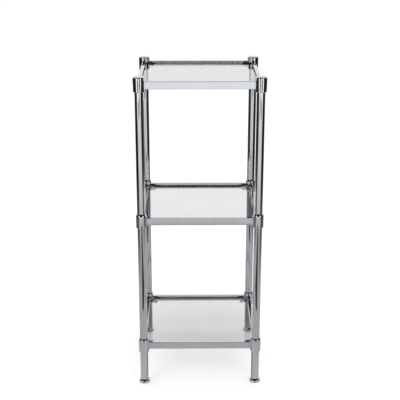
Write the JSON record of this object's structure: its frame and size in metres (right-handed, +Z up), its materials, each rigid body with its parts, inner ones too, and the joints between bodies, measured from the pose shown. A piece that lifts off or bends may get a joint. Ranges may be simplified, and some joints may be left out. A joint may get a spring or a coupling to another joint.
{
  "type": "glass shelving tower",
  "caption": "Free-standing square shelving tower of chrome tube posts, cast corner connectors and rails, with lift-out clear glass shelves and levelling feet.",
  "frame": {"origin": "on the floor, at the middle of the plan", "axes": "+Z up, the front faces -Y, +X to the right seen from the front"},
  "size_m": [0.3406, 0.3406, 0.867],
  "materials": {
    "polished_chrome": "mirror polished",
    "clear_glass": "polished",
    "grey_nylon": "moulded",
    "clear_bumper": "clear, soft"
  },
  "bodies": {
    "frame": {"bottom_connector_front_left": "polished_chrome", "bottom_bumper_front_left": "clear_bumper", "bottom_connector_front_right": "polished_chrome", "bottom_bumper_front_right": "clear_bumper", "bottom_connector_back_right": "polished_chrome", "bottom_bumper_back_right": "clear_bumper", "bottom_connector_back_left": "polished_chrome", "bottom_bumper_back_left": "clear_bumper", "bottom_rail_front": "polished_chrome", "bottom_rail_back": "polished_chrome", "bottom_rail_left": "polished_chrome", "bottom_rail_right": "polished_chrome", "middle_connector_front_left": "polished_chrome", "middle_bumper_front_left": "clear_bumper", "middle_connector_front_right": "polished_chrome", "middle_bumper_front_right": "clear_bumper", "middle_connector_back_right": "polished_chrome", "middle_bumper_back_right": "clear_bumper", "middle_connector_back_left": "polished_chrome", "middle_bumper_back_left": "clear_bumper", "middle_rail_front": "polished_chrome", "middle_rail_back": "polished_chrome", "middle_rail_left": "polished_chrome", "middle_rail_right": "polished_chrome", "top_connector_front_left": "polished_chrome", "top_bumper_front_left": "clear_bumper", "top_connector_front_right": "polished_chrome", "top_bumper_front_right": "clear_bumper", "top_connector_back_right": "polished_chrome", "top_bumper_back_right": "clear_bumper", "top_connector_back_left": "polished_chrome", "top_bumper_back_left": "clear_bumper", "top_rail_front": "polished_chrome", "top_rail_back": "polished_chrome", "top_rail_left": "polished_chrome", "top_rail_right": "polished_chrome", "upper_post_front_left": "polished_chrome", "upper_post_front_right": "polished_chrome", "upper_post_back_right": "polished_chrome", "upper_post_back_left": "polished_chrome", "lower_post_front_left": "polished_chrome", "lower_post_front_right": "polished_chrome", "lower_post_back_right": "polished_chrome", "lower_post_back_left": "polished_chrome", "leg_front_left": "polished_chrome", "leg_front_right": "polished_chrome", "leg_back_right": "polished_chrome", "leg_back_left": "polished_chrome"},
    "bottom_shelf": {"bottom_glass_shelf": "clear_glass"},
    "middle_shelf": {"middle_glass_shelf": "clear_glass"},
    "top_shelf": {"top_glass_shelf": "clear_glass"},
    "pad_front_left_body": {"foot_pad_front_left": "grey_nylon"},
    "foot_front_left_body": {"foot_front_left": "polished_chrome"},
    "pad_front_right_body": {"foot_pad_front_right": "grey_nylon"},
    "foot_front_right_body": {"foot_front_right": "polished_chrome"},
    "pad_back_right_body": {"foot_pad_back_right": "grey_nylon"},
    "foot_back_right_body": {"foot_back_right": "polished_chrome"},
    "pad_back_left_body": {"foot_pad_back_left": "grey_nylon"},
    "foot_back_left_body": {"foot_back_left": "polished_chrome"}
  },
  "joints": [
    {"name": "bottom_shelf_lift", "type": "slide", "parent": "frame", "child": "bottom_shelf", "axis": [0, 0, 1], "range_m": [0, 0.06]},
    {"name": "middle_shelf_lift", "type": "slide", "parent": "frame", "child": "middle_shelf", "axis": [0, 0, 1], "range_m": [0, 0.06]},
    {"name": "top_shelf_lift", "type": "slide", "parent": "frame", "child": "top_shelf", "axis": [0, 0, 1], "range_m": [0, 0.06]},
    {"name": "foot_level_front_left", "type": "slide", "parent": "frame", "child": "pad_front_left_body", "axis": [0, 0, -1], "range_m": [0, 0.01]},
    {"name": "foot_turn_front_left", "type": "hinge", "parent": "pad_front_left_body", "child": "foot_front_left_body", "pos_m": [-0.155, -0.155, 0], "axis": [0, 0, -1], "range_deg": [0, 2880]},
    {"name": "foot_level_front_right", "type": "slide", "parent": "frame", "child": "pad_front_right_body", "axis": [0, 0, -1], "range_m": [0, 0.01]},
    {"name": "foot_turn_front_right", "type": "hinge", "parent": "pad_front_right_body", "child": "foot_front_right_body", "pos_m": [0.155, -0.155, 0], "axis": [0, 0, -1], "range_deg": [0, 2880]},
    {"name": "foot_level_back_right", "type": "slide", "parent": "frame", "child": "pad_back_right_body", "axis": [0, 0, -1], "range_m": [0, 0.01]},
    {"name": "foot_turn_back_right", "type": "hinge", "parent": "pad_back_right_body", "child": "foot_back_right_body", "pos_m": [0.155, 0.155, 0], "axis": [0, 0, -1], "range_deg": [0, 2880]},
    {"name": "foot_level_back_left", "type": "slide", "parent": "frame", "child": "pad_back_left_body", "axis": [0, 0, -1], "range_m": [0, 0.01]},
    {"name": "foot_turn_back_left", "type": "hinge", "parent": "pad_back_left_body", "child": "foot_back_left_body", "pos_m": [-0.155, 0.155, 0], "axis": [0, 0, -1], "range_deg": [0, 2880]}
  ],
  "couplings": [
    {"joint": "foot_level_front_left", "follows": "foot_turn_front_left", "m_per_rad": 0.00019894},
    {"joint": "foot_level_front_right", "follows": "foot_turn_front_right", "m_per_rad": 0.00019894},
    {"joint": "foot_level_back_right", "follows": "foot_turn_back_right", "m_per_rad": 0.00019894},
    {"joint": "foot_level_back_left", "follows": "foot_turn_back_left", "m_per_rad": 0.00019894}
  ]
}
